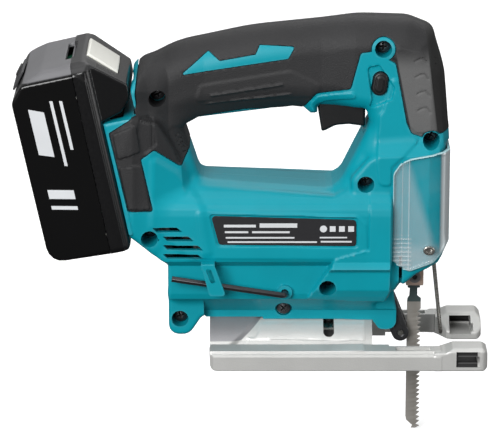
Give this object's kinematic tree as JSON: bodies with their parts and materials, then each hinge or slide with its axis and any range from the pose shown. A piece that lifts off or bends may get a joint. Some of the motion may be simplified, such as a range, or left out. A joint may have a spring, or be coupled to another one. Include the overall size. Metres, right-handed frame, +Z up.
{
  "type": "cordless jigsaw",
  "caption": "Cordless D-handle jigsaw: split moulded housing with rubber grips, slide-on battery, trigger, roller-guided reciprocating blade and tilting cast base.",
  "frame": {"origin": "in the plane of the base's underside, on the bevel axis, just behind the saw blade", "axes": "+X forward in the cutting direction, +Z up from the sole, +Y to the tool's left"},
  "size_m": [0.2537, 0.077, 0.2344],
  "materials": {
    "teal_plastic": "moulded glass-filled nylon, fine sparked texture",
    "rubber_grip": "moulded soft elastomer with fine grain",
    "black_plastic": "moulded nylon",
    "gloss_black": "smooth moulded shell",
    "white_plastic": "moulded button",
    "clear_cover": "clear polycarbonate",
    "cast_aluminium": "die cast, blasted, clear coated",
    "bright_steel": "zinc plated or ground",
    "dark_steel": "black oxide",
    "blade_steel": "ground, grey brown",
    "copper": "enamelled windings and segments",
    "bronze": "sintered bronze",
    "magnet": "sintered ferrite",
    "label": "printed film without text",
    "cell_wrap": "shrink film",
    "gear_alloy": "die cast zinc or aluminium"
  },
  "bodies": {
    "base_body": {"base": "cast_aluminium"},
    "tool_body": {"housing_right": "teal_plastic", "housing_left": "teal_plastic", "grip_right": "rubber_grip", "grip_left": "rubber_grip", "housing_screws": "dark_steel", "rating_plate": "label", "guard_wire": "bright_steel", "switch_body": "black_plastic", "trigger_spring": "bright_steel", "terminal_block": "black_plastic", "terminal_blades": "bronze", "motor_yoke": "bright_steel", "motor_magnets": "magnet", "carbon_brushes": "magnet", "rear_bearing": "bright_steel", "front_bearing": "bright_steel", "gear_case": "gear_alloy", "crank_bearings": "bright_steel", "slider_bushes": "bronze", "arm_pin": "bright_steel", "base_bolt": "dark_steel", "base_clamp_plate": "bright_steel", "saddle_nut": "bright_steel"},
    "armature_body": {"armature": "copper", "commutator": "copper", "cooling_fan": "black_plastic", "motor_pinion": "bright_steel"},
    "crank_body": {"crank_gear": "bright_steel", "crank_shaft": "bright_steel", "crank_pin": "bright_steel"},
    "slider_body": {"slider": "bright_steel", "blade_holder": "bright_steel", "clamp_screw": "dark_steel", "saw_blade": "blade_steel"},
    "trigger_body": {"trigger": "black_plastic"},
    "lock_body": {"lock_button": "black_plastic"},
    "cover_body": {"dust_cover": "clear_cover"},
    "battery_body": {"battery_case": "gloss_black", "battery_cover": "gloss_black", "battery_latch_spring": "bright_steel", "battery_gauge": "label", "battery_cells": "cell_wrap", "battery_screws": "bright_steel", "battery_contacts": "bronze"},
    "release_body": {"battery_button": "white_plastic"},
    "gauge_button_body": {"gauge_button": "black_plastic"},
    "key_body": {"hex_key": "dark_steel"},
    "lever_body": {"action_lever": "black_plastic", "lever_shaft": "bright_steel"},
    "arm_body": {"roller_arm": "dark_steel", "roller_pins": "bright_steel"},
    "roller_body": {"guide_roller": "bright_steel"}
  },
  "joints": [
    {"name": "bevel", "type": "hinge", "parent": "base_body", "child": "tool_body", "pos_m": [0, 0, 0], "axis": [1, 0, 0], "range_deg": [-45, 45]},
    {"name": "armature_spin", "type": "hinge", "parent": "tool_body", "child": "armature_body", "pos_m": [-0.045, 0, 0.066], "axis": [1, 0, 0], "continuous": true},
    {"name": "crank_spin", "type": "hinge", "parent": "tool_body", "child": "crank_body", "pos_m": [-0.015, 0, 0.084], "axis": [1, 0, 0], "continuous": true},
    {"name": "blade_stroke", "type": "slide", "parent": "tool_body", "child": "slider_body", "axis": [0, 0, 1], "range_m": [-0.018, 0]},
    {"name": "trigger_pull", "type": "slide", "parent": "tool_body", "child": "trigger_body", "axis": [0, 0, 1], "range_m": [0, 0.006], "stiffness_N_per_m": 900, "springref_m": -0.002, "deforming": ["trigger_spring"]},
    {"name": "lock_push", "type": "slide", "parent": "tool_body", "child": "lock_body", "axis": [0, 1, 0], "range_m": [-0.0025, 0.0025]},
    {"name": "cover_slide", "type": "slide", "parent": "tool_body", "child": "cover_body", "axis": [0, 0, -1], "range_m": [0, 0.015]},
    {"name": "battery_slide", "type": "slide", "parent": "tool_body", "child": "battery_body", "axis": [-0.2079, 0, 0.9781], "range_m": [0, 0.065]},
    {"name": "release_press", "type": "slide", "parent": "battery_body", "child": "release_body", "axis": [-0.5446, 0, -0.8387], "range_m": [0, 0.0024], "stiffness_N_per_m": 1200, "springref_m": -0.001, "deforming": ["battery_latch_spring"]},
    {"name": "gauge_press", "type": "slide", "parent": "battery_body", "child": "gauge_button_body", "axis": [0.891, 0, -0.454], "range_m": [0, 0.0004], "stiffness_N_per_m": 1500, "springref_m": -0.0002},
    {"name": "key_swing", "type": "hinge", "parent": "tool_body", "child": "key_body", "pos_m": [-0.069, -0.028, 0.0414], "axis": [0, -1, 0], "range_deg": [0, 20]},
    {"name": "lever_turn", "type": "hinge", "parent": "tool_body", "child": "lever_body", "pos_m": [-0.02, 0.033, 0.046], "axis": [0, 1, 0], "range_deg": [-45, 45]},
    {"name": "arm_swing", "type": "hinge", "parent": "tool_body", "child": "arm_body", "pos_m": [-0.013, 0, 0.028], "axis": [0, 1, 0], "range_deg": [0, 5]},
    {"name": "roller_spin", "type": "hinge", "parent": "arm_body", "child": "roller_body", "pos_m": [-0.00575, 0, 0.011], "axis": [0, 1, 0], "continuous": true}
  ],
  "couplings": [
    {"joint": "crank_spin", "follows": "armature_spin", "ratio": -0.25}
  ]
}
